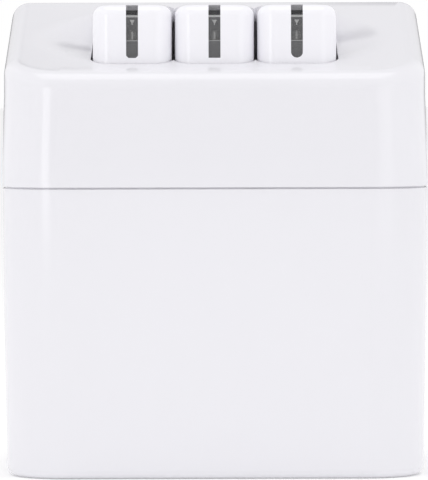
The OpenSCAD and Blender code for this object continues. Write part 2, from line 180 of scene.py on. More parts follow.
class Graph:
    """The node graph of one material or world."""

    def __init__(self, tree: bpy.types.NodeTree) -> None:
        """Starts an empty graph.

        Args:
            tree: The node tree, which is cleared.
        """
        self.tree = tree
        tree.nodes.clear()

    def node(self, kind: str, settings: Optional[dict[str, Any]] = None,
             inputs: Optional[dict[Any, Any]] = None) -> Made:
        """Adds a node.

        Args:
            kind: The node's type.
            settings: Its settings, set before its sockets. "stops" sets a ramp's stops.
            inputs: The values or links of its sockets, by name or number.

        Returns:
            The new node.
        """
        node = self.tree.nodes.new(kind)
        for key, value in (settings or {}).items():
            if key == "stops":
                self._stops(node.color_ramp, value)
            else:
                setattr(node, key, value)
        for key, value in (inputs or {}).items():
            self._feed(node.inputs[key], value)
        return Made(self, node)

    def _stops(self, ramp: bpy.types.ColorRamp, stops: Sequence[tuple[float, float]]) -> None:
        """Sets a ramp's grey stops, given as places and levels."""
        while len(ramp.elements) < len(stops):
            ramp.elements.new(1.0)
        for element, (place, level) in zip(ramp.elements, stops):
            element.position = place
            element.color = (level, level, level, 1.0)

    def _feed(self, socket: bpy.types.NodeSocket, value: Any) -> None:
        """Links a socket to another one, or sets its value."""
        if isinstance(value, Sock):
            self.tree.links.new(value.socket, socket)
        elif isinstance(value, (tuple, list)) and len(value) == 3 and len(socket.default_value) == 4:
            socket.default_value = (*value, 1.0)
        else:
            socket.default_value = value

    def ramp(self, value: Sock, start: float, end: float, first: Any, last: Any) -> Sock:
        """Turns a value into a smooth step.

        Args:
            value: The value.
            start: Where the step starts.
            end: Where it ends.
            first: The result up to its start.
            last: The result from its end.

        Returns:
            The step.
        """
        return self.node("ShaderNodeMapRange", {"interpolation_type": "SMOOTHSTEP"}, {
            "Value": value, "From Min": start, "From Max": end, "To Min": first, "To Max": last,
        }).out("Result")

    def place(self) -> Sock:
        """The point on the surface, in the object's own frame, in metres."""
        return self.node("ShaderNodeTexCoord").out("Object")

    def noise(self, size_mm: float, detail: float = 3.0, rough: float = 0.5,
              stretch: tuple[float, float, float] = (1.0, 1.0, 1.0)) -> Sock:
        """Cloudy noise.

        Args:
            size_mm: The size of its clouds, in millimetres.
            detail: How many finer layers it has.
            rough: How strong those layers are.
            stretch: How much it is squeezed along each axis.

        Returns:
            The noise, from 0 to 1.
        """
        mapped = self.node("ShaderNodeMapping", None, {"Vector": self.place(), "Scale": stretch})
        return self.node("ShaderNodeTexNoise", None, {
            "Vector": mapped.out(), "Scale": 1.0 / (size_mm * MM), "Detail": detail, "Roughness": rough,
        }).out("Fac")

    def blend(self, fac: Any, first: tuple[float, ...], second: tuple[float, ...]) -> Sock:
        """Mixes two colours."""
        mix = self.node("ShaderNodeMix", {"data_type": "RGBA"}, {"Factor": fac})
        self._feed(mix.node.inputs[6], first)
        self._feed(mix.node.inputs[7], second)
        return mix.out(2)

    def bump(self, height: Sock, depth_mm: float, strength: float = 1.0) -> Sock:
        """A normal bent by a height map.

        Args:
            height: The height, from 0 to 1.
            depth_mm: How deep the full height is.
            strength: How much of the bend is used.

        Returns:
            The bent normal.
        """
        return self.node("ShaderNodeBump", None, {
            "Height": height, "Distance": depth_mm * MM, "Strength": strength,
        }).out("Normal")

    def surface(self, shader: Made) -> None:
        """Sends a shader to the material's surface."""
        self.node("ShaderNodeOutputMaterial", None, {"Surface": shader.out()})


@dataclass(frozen=True)
class Finish:
    """What every finish has: a slot in the record and a colour."""

    slot: str
    color: tuple[float, float, float]
    label: str = field(default="", kw_only=True)

    def paint(self, graph: Graph) -> Made:
        """Builds the shader, and is overridden by each finish."""
        raise NotImplementedError

    def material(self) -> bpy.types.Material:
        """The finish as a material, made once."""
        name = f"{self.label or self.slot}_finish"
        found = bpy.data.materials.get(name)
        if found:
            return found
        material = bpy.data.materials.new(name)
        material.use_nodes = True
        graph = Graph(material.node_tree)
        graph.surface(self.paint(graph))
        return material


@dataclass(frozen=True)
class PolishedPlastic(Finish):
    """Moulded plastic with a polished face, faint flow clouds and a slight ripple."""

    rough: float = 0.09
    ripple_mm: float = 0.0012

    def paint(self, graph: Graph) -> Made:
        """Builds the shader.

        Args:
            graph: The graph to build in.

        Returns:
            The shader node.
        """
        cloud = graph.noise(14.0, 2.0)
        speck = graph.noise(0.35, 2.0, 0.6)
        shade = tuple(c * 0.985 for c in self.color)
        ripple = graph.noise(2.6, 2.0, 0.4)
        return graph.node("ShaderNodeBsdfPrincipled", None, {
            "Base Color": graph.blend(cloud * 0.7 + speck * 0.2, self.color, shade),
            "Roughness": self.rough + speck * 0.03 + cloud * 0.02,
            "IOR": 1.5,
            "Subsurface Weight": 0.0,
            "Coat Weight": 0.0,
            "Normal": graph.bump(ripple + speck * 0.15, self.ripple_mm, 0.5),
        })


@dataclass(frozen=True)
class MattPlastic(Finish):
    """Moulded plastic with a fine spark-eroded texture, and an optional painted glow: emission that stands in
    for light coming through thin walls.
    """

    rough: float = 0.5
    grain_mm: float = 0.004
    # Strength of the painted glow, an emission that stands in for light; the part is no lamp.
    glow: float = 0.0

    def paint(self, graph: Graph) -> Made:
        """Builds the shader.

        Args:
            graph: The graph to build in.

        Returns:
            The shader node.
        """
        grain = graph.noise(0.22, 3.0, 0.65)
        cloud = graph.noise(6.0, 2.0)
        shade = tuple(c * 0.85 for c in self.color)
        return graph.node("ShaderNodeBsdfPrincipled", None, {
            "Base Color": graph.blend(cloud * 0.6 + grain * 0.4, self.color, shade),
            "Roughness": self.rough + grain * 0.12,
            "IOR": 1.48,
            # Painted glow: the part gives off its own colour as light.
            "Emission Color": self.color,
            "Emission Strength": self.glow,
            "Normal": graph.bump(grain, self.grain_mm, 0.6),
        })


@dataclass(frozen=True)
class Metal(Finish):
    """Metal sheet or turned metal, with fine drawn lines and a few dull patches."""

    rough: float = 0.2
    lines: tuple[float, float, float] = (1.0, 1.0, 0.04)

    def paint(self, graph: Graph) -> Made:
        """Builds the shader.

        Args:
            graph: The graph to build in.

        Returns:
            The shader node.
        """
        lines = graph.noise(0.12, 3.0, 0.6, self.lines)
        patch = graph.noise(3.0, 3.0)
        shade = tuple(c * 0.8 for c in self.color)
        return graph.node("ShaderNodeBsdfPrincipled", None, {
            "Base Color": graph.blend(patch * 0.5 + lines * 0.3, self.color, shade),
            "Metallic": 1.0,
            "Roughness": self.rough + lines * 0.1 + patch * 0.06,
            "Normal": graph.bump(lines, 0.002, 0.4),
        })


@dataclass(frozen=True)
class ClearGlass(Finish):
    """Thin clear glass or tinted clear plastic."""

    rough: float = 0.02
    alpha: float = 0.4

    def paint(self, graph: Graph) -> Made:
        """Builds the shader.

        Args:
            graph: The graph to build in.

        Returns:
            The shader node.
        """
        haze = graph.noise(1.5, 3.0)
        return graph.node("ShaderNodeBsdfPrincipled", None, {
            "Base Color": graph.blend(haze, self.color, tuple(c * 0.9 for c in self.color)),
            "Roughness": self.rough + haze * 0.03,
            "IOR": 1.46,
            "Alpha": self.alpha + haze * 0.04,
        })


@dataclass(frozen=True)
class CircuitBoard(Finish):
    """Solder mask with copper tracks under it."""

    track: tuple[float, float, float] = (0.05, 0.26, 0.12)

    def paint(self, graph: Graph) -> Made:
        """Builds the shader.

        Args:
            graph: The graph to build in.

        Returns:
            The shader node.
        """
        cells = graph.node("ShaderNodeTexBrick", {"offset": 0.35}, {
            "Vector": graph.place(), "Scale": 1.0 / (3.1 * MM), "Mortar Size": 0.09,
            "Color1": (0.0, 0.0, 0.0), "Color2": (0.0, 0.0, 0.0), "Mortar": (1.0, 1.0, 1.0),
        }).out("Fac")
        weave = graph.noise(0.4, 2.0)
        return graph.node("ShaderNodeBsdfPrincipled", None, {
            "Base Color": graph.blend(cells * 0.8 + weave * 0.2, self.color, self.track),
            "Roughness": 0.25 + weave * 0.15,
            "Normal": graph.bump(cells + weave * 0.2, 0.03, 0.5),
        })


@dataclass(frozen=True)
class WoundWire(Finish):
    """Close turns of enamelled wire or of wrapping tape."""

    pitch_mm: float = 0.5
    rough: float = 0.3
    metallic: float = 1.0

    def paint(self, graph: Graph) -> Made:
        """Builds the shader.

        Args:
            graph: The graph to build in.

        Returns:
            The shader node.
        """
        turns = graph.node("ShaderNodeTexWave", {"wave_type": "BANDS", "bands_direction": "DIAGONAL"}, {
            "Vector": graph.place(), "Scale": 0.3 / (self.pitch_mm * MM), "Distortion": 0.4,
        }).out("Fac")
        shade = tuple(c * 0.45 for c in self.color)
        return graph.node("ShaderNodeBsdfPrincipled", None, {
            "Base Color": graph.blend(1.0 - turns, self.color, shade),
            "Metallic": self.metallic,
            "Roughness": self.rough + turns * 0.1,
            "Normal": graph.bump(turns, 0.12, 0.7),
        })


SHELL_WHITE = PolishedPlastic("shell_white", (0.83, 0.822, 0.862))
COVER_WHITE = PolishedPlastic("cover_white", (0.83, 0.822, 0.862))
KEY_WHITE = PolishedPlastic("key_white", (0.92, 0.912, 0.955), 0.07)
CUP_WHITE = PolishedPlastic("cup_white", (0.84, 0.832, 0.872), 0.16)
BARREL_WHITE = PolishedPlastic("barrel_white", (0.82, 0.812, 0.85), 0.2)
WINDOW_SMOKE = ClearGlass("window_smoke", (0.1, 0.1, 0.105), 0.05, 0.22)
LAMP_GLASS = ClearGlass("lamp_glass", (0.85, 0.85, 0.82), 0.02, 0.35)
# Painted glow: the dark holder is given emission so that it shows mid grey behind the smoked window.
HOLDER_DARK_PAINTED_GLOW = MattPlastic("holder_dark", (0.22, 0.22, 0.225), 0.35, glow=0.4)
# Painted glow on the lamp's lead, its pip and the holder's ledge, though the lamp is not lit.
LAMP_CORE_PAINTED_GLOW = MattPlastic("guide_white", (0.8, 0.8, 0.8), glow=0.38, label="lamp_core")
PLATE_GREY = MattPlastic("plate_grey", (0.62, 0.63, 0.65))
GUIDE_WHITE = MattPlastic("guide_white", (0.8, 0.8, 0.8))
PLUNGER_GREY = MattPlastic("plunger_grey", (0.4, 0.4, 0.42))
PART_BLACK = MattPlastic("part_black", (0.03, 0.03, 0.032), 0.4)
BOARD_GREEN = CircuitBoard("board_green", (0.03, 0.16, 0.07))
FERRITE = MattPlastic("ferrite", (0.07, 0.07, 0.075), 0.6, 0.02)
TAPE_YELLOW = WoundWire("tape_yellow", (0.75, 0.55, 0.06), 2.5, 0.25, 0.0)
CAN_BLUE = PolishedPlastic("can_blue", (0.03, 0.05, 0.18), 0.25)
CAN_GREEN = PolishedPlastic("can_green", (0.03, 0.14, 0.09), 0.25)
DISC_BLUE = PolishedPlastic("disc_blue", (0.04, 0.16, 0.5), 0.3, 0.02)
CERAMIC_TAN = MattPlastic("ceramic_tan", (0.6, 0.47, 0.3))
SHEET_IVORY = MattPlastic("sheet_ivory", (0.75, 0.72, 0.6), 0.7)
RIBBON_GREY = WoundWire("ribbon_grey", (0.5, 0.5, 0.52), 1.2, 0.45, 0.0)
LEAD_RED = PolishedPlastic("lead_red", (0.55, 0.03, 0.03), 0.35)
COPPER = WoundWire("copper", (0.65, 0.3, 0.15))
BRASS = Metal("brass", (0.78, 0.6, 0.3))
NICKEL = Metal("nickel", (0.74, 0.73, 0.7), 0.12)
STEEL = Metal("steel", (0.6, 0.6, 0.62), 0.28)
SPRING_STEEL = Metal("spring_steel", (0.55, 0.55, 0.57), 0.25)
ALUMINIUM = Metal("aluminium", (0.75, 0.76, 0.77), 0.35)
FINISHES = {finish.slot: finish for finish in (
    SHELL_WHITE, COVER_WHITE, KEY_WHITE, CUP_WHITE, BARREL_WHITE, WINDOW_SMOKE, LAMP_GLASS, HOLDER_DARK_PAINTED_GLOW,
    PLATE_GREY, GUIDE_WHITE, PLUNGER_GREY, PART_BLACK, BOARD_GREEN, FERRITE, TAPE_YELLOW, CAN_BLUE,
    CAN_GREEN, DISC_BLUE, CERAMIC_TAN, SHEET_IVORY, RIBBON_GREY, LEAD_RED, COPPER, BRASS, NICKEL, STEEL,
    SPRING_STEEL, ALUMINIUM,
)}


# ---------------------------------------------------------------------------------------------
# Mesh building
# ---------------------------------------------------------------------------------------------


def rounded_sides(centre: Vector, along: Vector, across: Vector, half: tuple[float, float],
                  radius: float, step: int = 10) -> list[Plane]:
    """The planes that bound a rounded rectangle.

    Args:
        centre: Its centre.
        along: The direction of its first side.
        across: The direction of its second side.
        half: Half its size along each direction.
        radius: The radius of its corners.
        step: The turn from one plane to the next, in degrees.

    Returns:
        Each plane's point and outward normal.
    """
    planes = []
    for turn in range(0, 360, step):
        a, b = math.cos(math.radians(turn)), math.sin(math.radians(turn))
        normal = along * a + across * b
        reach = (half[0] - radius) * abs(a) + (half[1] - radius) * abs(b) + radius
        planes.append((centre + normal * reach, normal))
    return planes


class Solid:
    """A mesh under construction, in millimetres."""

    def __init__(self) -> None:
        """Starts an empty mesh."""
        self.bm = bmesh.new()

    def box(self, low: Sequence[float], high: Sequence[float]) -> list[BMFace]:
        """Adds a box.

        Args:
            low: Its lowest corner.
            high: Its highest corner.

        Returns:
            Its faces.
        """
        low, high = Vector(low), Vector(high)
        verts = bmesh.ops.create_cube(self.bm, size=1.0)["verts"]
        bmesh.ops.scale(self.bm, vec=high - low, verts=verts)
        bmesh.ops.translate(self.bm, vec=(low + high) / 2, verts=verts)
        return list({face for vert in verts for face in vert.link_faces})

    def bevel(self, edges: Iterable[BMEdge], radius: float, segments: int) -> None:
        """Rounds some edges.

        Args:
            edges: The edges.
            radius: How far from the edge the rounding starts.
            segments: How many steps it has.
        """
        bmesh.ops.bevel(self.bm, geom=list(edges), offset=radius, segments=segments, profile=0.5,
                        affect="EDGES", material=-1, clamp_overlap=False)

    def upright_edges(self) -> list[BMEdge]:
        """The edges that run straight up."""
        return [e for e in self.bm.edges
                if (e.verts[0].co - e.verts[1].co).cross(UP).length < 1e-4]

    def cut(self, faces: Iterable[BMFace], point: Vector, normal: Vector, drop: bool = False) -> list[BMFace]:
        """Cuts faces along a plane.

        Args:
            faces: The faces.
            point: A point on the plane.
            normal: The plane's normal.
            drop: Whether what lies beyond the plane is deleted.

        Returns:
            The faces after the cut.
        """
        faces = list(faces)
        edges = {e for f in faces for e in f.edges}
        verts = {v for f in faces for v in f.verts}
        result = bmesh.ops.bisect_plane(self.bm, geom=[*faces, *edges, *verts], dist=1e-5,
                                        plane_co=point, plane_no=normal, clear_outer=drop)
        return [g for g in result["geom"] if isinstance(g, BMFace)]

    def levels(self, heights: Iterable[float]) -> None:
        """Cuts the whole mesh at some heights."""
        for height in heights:
            self.cut(self.bm.faces[:], UP * height, UP)

    def within(self, faces: Iterable[BMFace], planes: Iterable[Plane]) -> list[BMFace]:
        """Cuts faces along a convex outline.

        Args:
            faces: The faces.
            planes: The outline's planes.

        Returns:
            The faces inside the outline.
        """
        inside = list(faces)
        for point, normal in planes:
            inside = [f for f in self.cut(inside, point, normal)
                      if (f.calc_center_median() - point).dot(normal) < 0]
        return inside

    def facing(self, direction: Vector, least: float = 0.999) -> list[BMFace]:
        """The faces that look in a direction."""
        self.bm.normal_update()
        return [f for f in self.bm.faces if f.normal.dot(direction) > least]

    def delete(self, faces: Iterable[BMFace]) -> None:
        """Deletes faces."""
        bmesh.ops.delete(self.bm, geom=list(faces), context="FACES")

    def block(self, low: Sequence[float], high: Sequence[float], radius: float, segments: int = 3) -> None:
        """Adds a box with rounded edges.

        Args:
            low: Its lowest corner.
            high: Its highest corner.
            radius: The radius of its edges.
            segments: How many steps the rounding has.
        """
        faces = self.box(low, high)
        self.bevel({e for f in faces for e in f.edges}, radius, segments)

    def turned(self, profile: Sequence[tuple[float, float]], centre: Vector, axis: Vector = UP,
               steps: int = 24) -> None:
        """Adds a turned shape.

        Args:
            profile: Its outline, as distances from the axis and places along it.
            centre: The point on the axis that places count from.
            axis: The axis's direction.
            steps: How many sides it has.
        """
        side = axis.orthogonal().normalized()
        verts = [self.bm.verts.new(centre + side * reach + axis * place) for reach, place in profile]
        edges = [self.bm.edges.new(pair) for pair in zip(verts, verts[1:])]
        bmesh.ops.spin(self.bm, geom=[*verts, *edges], cent=centre, axis=axis, angle=math.tau,
                       steps=steps, use_merge=True)
        bmesh.ops.remove_doubles(self.bm, verts=self.bm.verts[:], dist=1e-4)

    def pierce(self, direction: Vector, outline: Sequence[Plane]) -> None:
        """Makes a hole through a closed plate.

        Args:
            direction: The way through the plate.
            outline: The planes round the hole.
        """
        for way in (direction, -direction):
            self.delete(self.within(self.facing(way, 0.9999), outline))
        bmesh.ops.bridge_loops(self.bm, edges=[e for e in self.bm.edges if e.is_boundary])

    def press(self, direction: Vector, depth: float, windows: Sequence[tuple[Vector, Vector]]) -> None:
        """Presses pockets into the faces that look in a direction.

        Args:
            direction: The way the faces look.
            depth: How deep the pockets go from there.
            windows: The lowest and highest corner of each pocket's mouth.
        """
        axes = [axis for axis in (RIGHT, BACK, UP) if abs(axis.dot(direction)) < 0.5]
        faces = self.facing(direction, 0.9999)
        for window in windows:
            for corner in window:
                for axis in axes:
                    faces = self.cut(faces, axis * corner.dot(axis), axis)

        def covered(face: BMFace) -> bool:
            """Whether a face's middle lies in a window."""
            middle = face.calc_center_median()
            return any(all(low.dot(a) < middle.dot(a) < high.dot(a) for a in axes) for low, high in windows)

        sunk = [f for f in faces if covered(f)]
        region = [*sunk, *{e for f in sunk for e in f.edges}]
        made = bmesh.ops.extrude_face_region(self.bm, geom=region)["geom"]
        bmesh.ops.translate(self.bm, vec=-direction * depth, verts=[g for g in made if isinstance(g, BMVert)])

    def merge_flat(self) -> None:
        """Joins faces that lie in one plane."""
        bmesh.ops.dissolve_limit(self.bm, angle_limit=math.radians(0.5), verts=self.bm.verts[:],
                                 edges=self.bm.edges[:])

    def outward(self) -> None:
        """Merges doubles and turns all faces outwards."""
        bmesh.ops.remove_doubles(self.bm, verts=self.bm.verts[:], dist=1e-4)
        bmesh.ops.recalc_face_normals(self.bm, faces=self.bm.faces[:])

    def build(self, name: str, finish: Finish, edge_mm: float = 0.0, wall_mm: float = 0.0,
              sharp_deg: float = 38.0) -> bpy.types.Object:
        """Turns the mesh into an object in metres.

        Args:
            name: The piece's name.
            finish: Its finish.
            edge_mm: The rounding of its sharp edges.
            wall_mm: The wall that an open skin gets on its inner side.
            sharp_deg: The angle above which an edge counts as sharp.

        Returns:
            The new object.
        """
        bmesh.ops.scale(self.bm, vec=(MM, MM, MM), verts=self.bm.verts[:])
        sharp = math.radians(sharp_deg)
        for face in self.bm.faces:
            face.smooth = True
        for edge in self.bm.edges:
            edge.smooth = len(edge.link_faces) == 2 and edge.calc_face_angle(0.0) < sharp
        mesh = bpy.data.meshes.new(name)
        self.bm.to_mesh(mesh)
        self.bm.free()
        mesh.materials.append(finish.material())
        piece = bpy.data.objects.new(name, mesh)
        bpy.context.scene.collection.objects.link(piece)
        if wall_mm:
            wall = piece.modifiers.new("wall", "SOLIDIFY")
            wall.thickness = wall_mm * MM
            wall.offset = -1.0
            wall.use_even_offset = True
        if edge_mm:
            edge = piece.modifiers.new("edge", "BEVEL")
            edge.width = edge_mm * MM
            edge.segments = 3
            edge.limit_method = "ANGLE"
            edge.angle_limit = math.radians(50.0)
            edge.use_clamp_overlap = True
            edge.harden_normals = False
        normals = piece.modifiers.new("normals", "WEIGHTED_NORMAL")
        normals.keep_sharp = True
        normals.weight = 60
        return piece


def settle(piece: bpy.types.Object, body: str, *nodes: str) -> None:
    """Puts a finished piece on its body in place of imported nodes.

    Args:
        piece: The piece.
        body: The body it moves with.
        nodes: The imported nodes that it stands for.
    """
    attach(piece, body)
    if nodes:
        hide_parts(*nodes)
    LOG.info("piece %s on %s for %s", piece.name, body, ", ".join(nodes) or "nothing packed")


def corners(node: str) -> tuple[Vector, Vector]:
    """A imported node's lowest and highest corners, in millimetres."""
    low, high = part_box(node)
    return low / MM, high / MM


# ---------------------------------------------------------------------------------------------
# Casing
# ---------------------------------------------------------------------------------------------


@dataclass
class Casing:
    """The two halves of the white casing."""

    corner_r: float = 8.8
    back_r: float = 3.0
    wall: float = 2.0
    seam_gap: float = 0.3
    front_h: float = 61.3
    tilt: float = math.radians(15.8)
    rim: float = 2.35
    taper: float = 0.4
    taper_end: float = 57.9
    foot_r: float = 1.5
    draft: float = 0.55
    overhang: float = 0.14
    edge_clear: float = 0.1
    screw_head_r: float = 2.75
    screw_hole_r: float = 3.0
    opening_gap: float = 0.35
    front_gap: float = 0.12
    key_d: float = 31.8
    opening_r: float = 3.05
    cusp_weld: float = 0.12
    inset_from: tuple[float, float, float] = (20.0, 16.0, 17.8)
    drop_over: float = 10.0
    dent_deep: float = 1.2
    dent_run: float = 7.2
    dent_r: float = 62.0
    dent_soft: float = 0.16
    low: Vector = field(init=False)
    high: Vector = field(init=False)

    def __post_init__(self) -> None:
        """Takes the casing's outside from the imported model."""
        self.low, self.high = corners("top_cover")
        self.seam = corners("body_shell")[1].z + self.seam_gap / 2
        self.foot = self.seam + self.seam_gap / 2

    def round_uprights(self, solid: Solid) -> None:
        """Rounds a box's upright edges, widely at the front and tightly at the back."""
        solid.bevel([e for e in solid.upright_edges() if e.verts[0].co.y > 0], self.back_r, 10)
        solid.bevel([e for e in solid.upright_edges() if e.verts[0].co.y < 0], self.corner_r, 16)

    def roof_z(self, y: float) -> float:
        """The height of the sloped top at a depth."""
        return self.front_h + (y - self.low.y) * math.tan(self.tilt)

    def squeeze(self, solid: Solid, inset_at: Any) -> None:
        """Narrows a solid at its sides and front by an inset that depends on height.

        Args:
            solid: The solid.
            inset_at: Gives the inset for a height.
        """
        half, depth = self.high.x, self.high.y - self.low.y
        for vert in solid.bm.verts:
            inset = inset_at(vert.co.z)
            vert.co.x *= (half - inset) / half
            vert.co.y += inset * (self.high.y - vert.co.y) / depth

    def opening(self, place: Place) -> list[Plane]:
        """The outline of the opening round a key.

        Args:
            place: Which key.

        Returns:
            The outline's planes.
        """
        low, high = corners(f"key_{place.word}")
        key_front = corners(f"window_{place.word}")[0].y
        front = key_front - self.front_gap
        back = key_front + self.key_d + self.opening_gap
        half_x = (high.x - low.x) / 2 + self.opening_gap
        centre = Vector(((low.x + high.x) / 2, (front + back) / 2, 0.0))
        return rounded_sides(centre, RIGHT, BACK, (half_x, (back - front) / 2), self.opening_r)

    def dent(self, x: float, y: float) -> float:
        """The depth of the finger dent at a point of the sloped top."""
        edge = corners("key_right")[1].x + self.opening_gap
        run = max(0.0, abs(x) - edge) / self.dent_run
        middle = y / math.cos(self.tilt)
        depth = self.dent_deep * (1.0 - run) - middle * middle / (2 * self.dent_r)
        return self.dent_soft * math.log1p(math.exp(min(depth / self.dent_soft, 40.0)))

    def line(self, solid: Solid) -> None:
        """Gives the cover its inner skin, so that the walls round the keys stand upright.

        Args:
            solid: The cover's outer skin.
        """

        def share(value: float, start: float, end: float) -> float:
            """How far a value has come from start to end, from 0 to 1."""
            return min(1.0, max(0.0, (value - start) / (end - start)))

        skin = [*solid.bm.verts, *solid.bm.edges, *solid.bm.faces]
        made = bmesh.ops.duplicate(solid.bm, geom=skin)["geom"]
        drop = self.wall / math.cos(self.tilt)
        side_from, front_from, back_from = self.inset_from
        for vert in [g for g in made if isinstance(g, BMVert)]:
            x, y, z = vert.co
            front = share(-y, front_from, -self.low.y - self.taper)
            back = share(y, back_from, self.high.y)
            vert.co.x -= math.copysign(self.wall * share(abs(x), side_from, self.high.x - self.taper), x)
            vert.co.y += self.wall * (front - back)
            vert.co.z -= drop * share(z, self.foot, self.foot + self.drop_over)
        bmesh.ops.reverse_faces(solid.bm, faces=[g for g in made if isinstance(g, BMFace)])
        for upper in (False, True):
            rim = [e for e in solid.bm.edges
                   if e.is_boundary and (e.verts[0].co.z > self.foot + 2.0) is upper]
            bmesh.ops.bridge_loops(solid.bm, edges=rim)

    def cover(self) -> None:
        """Builds the cover with its sloped top, finger dents and key openings."""
        solid = Solid()
        solid.box((self.low.x, self.low.y, self.foot), (self.high.x, self.high.y, 90.0))
        self.round_uprights(solid)
        slope = Vector((0.0, -math.sin(self.tilt), math.cos(self.tilt)))
        eave = Vector((0.0, self.low.y, self.front_h))
        solid.cut(solid.bm.faces[:], eave, slope, drop=True)
        solid.delete(solid.facing(-UP))
        open_top = [e for e in solid.bm.edges if e.is_boundary and e.verts[0].co.z > self.foot + 1]
        roof = bmesh.ops.contextual_create(solid.bm, geom=open_top)["faces"]
        rises = (0.0, 0.04, 0.25, 0.45, 0.65, 0.8, 0.92, 1.0)
        span = self.taper_end - self.foot
        solid.levels(self.foot + span * rise for rise in rises[1:])
        self.squeeze(solid, lambda z: self.taper * min(1.0, max(0.0, (z - self.foot) / span)) ** 1.5)
        for vert in roof[0].verts:
            vert.co.z = self.roof_z(vert.co.y)
        solid.bevel(roof[0].edges[:], self.rim, 9)
        edge = corners("key_right")[1].x + self.opening_gap
        roof = solid.facing(slope, 0.9999)
        for side in (-1, 1):
            for step in range(14):
                at = Vector((side * (edge + step * 0.8), 0.0, 0.0))
                roof = solid.cut(roof, at, RIGHT)
        for step in range(-14, 15):
            roof = solid.cut(roof, Vector((0.0, step * 1.15, 0.0)), BACK)
        for place in Place:
            solid.delete(solid.within(solid.facing(slope, 0.9999), self.opening(place)))
        rim = [v for v in solid.bm.verts if v.is_boundary and v.co.z > self.front_h]
        bmesh.ops.remove_doubles(solid.bm, verts=rim, dist=self.cusp_weld)
        for vert in {v for f in solid.facing(slope, 0.9999) for v in f.verts}:
            vert.co.z -= self.dent(vert.co.x, vert.co.y)
        solid.outward()
        self.line(solid)
        solid.outward()
        piece = solid.build("cover_shell", COVER_WHITE, 0.22)
        settle(piece, "root", "top_cover")

    def body(self) -> None:
        """Builds the lower shell with its plug, socket and screw openings."""
        top = self.seam - self.seam_gap / 2
        plate_low, plate_high = corners("port_plate")
        cup_low, cup_high = corners("plug_cup")
        screw_low, screw_high = corners("casing_screws")
        solid = Solid()
        solid.box((self.low.x, self.low.y, 0.0), (self.high.x, self.high.y, top))
        self.round_uprights(solid)
        solid.delete(solid.facing(UP))
        solid.levels(top * rise for rise in (0.07, 0.14, 0.28, 0.45, 0.62, 0.8, 0.93, 0.99))
        self.squeeze(solid, lambda z: self.overhang + self.draft * (1.0 - z / top) ** 2)
        base = solid.facing(-UP)
        solid.bevel([e for f in base for e in f.edges], self.foot_r, 7)
        clear = self.edge_clear
        back = solid.facing(BACK, 0.9999)
        centre = (cup_low + cup_high) / 2
        half = ((cup_high.x - cup_low.x) / 2 + clear, (cup_high.z - cup_low.z) / 2 + clear)
        solid.delete(solid.within(back, rounded_sides(centre, RIGHT, UP, half, 0.6, 15)))
        centre = (plate_low + plate_high) / 2
        half = ((plate_high.x - plate_low.x) / 2 + clear, (plate_high.y - plate_low.y) / 2 + clear)
        solid.delete(solid.within(solid.facing(-UP, 0.9999), rounded_sides(centre, RIGHT, BACK, half, 2.1)))
        head_r, hole_r = self.screw_head_r, self.screw_hole_r
        for x in (screw_low.x + head_r, screw_high.x - head_r):
            for y in (screw_low.y + head_r, screw_high.y - head_r):
                hole = rounded_sides(Vector((x, y, 0.0)), RIGHT, BACK, (hole_r, hole_r), hole_r)
                solid.delete(solid.within(solid.facing(-UP, 0.9999), hole))
        solid.outward()
        piece = solid.build("lower_shell", SHELL_WHITE, 0.16, self.wall)
        settle(piece, "root", "body_shell")

    def lip(self) -> None:
        """Builds the cover's lip, which closes the seam from inside."""
        solid = Solid()
        step = 0.6
        solid.box((self.low.x + step, self.low.y + step, self.foot - 3.4),
                  (self.high.x - step, self.high.y - step, self.foot + 0.6))
        solid.bevel(solid.upright_edges(), self.corner_r - step, 12)
        solid.delete(solid.facing(UP) + solid.facing(-UP))
        solid.outward()
        piece = solid.build("cover_lip", COVER_WHITE, 0.1, 1.0)
        settle(piece, "root")


# ---------------------------------------------------------------------------------------------
# Keys with their windows and lamps
# ---------------------------------------------------------------------------------------------


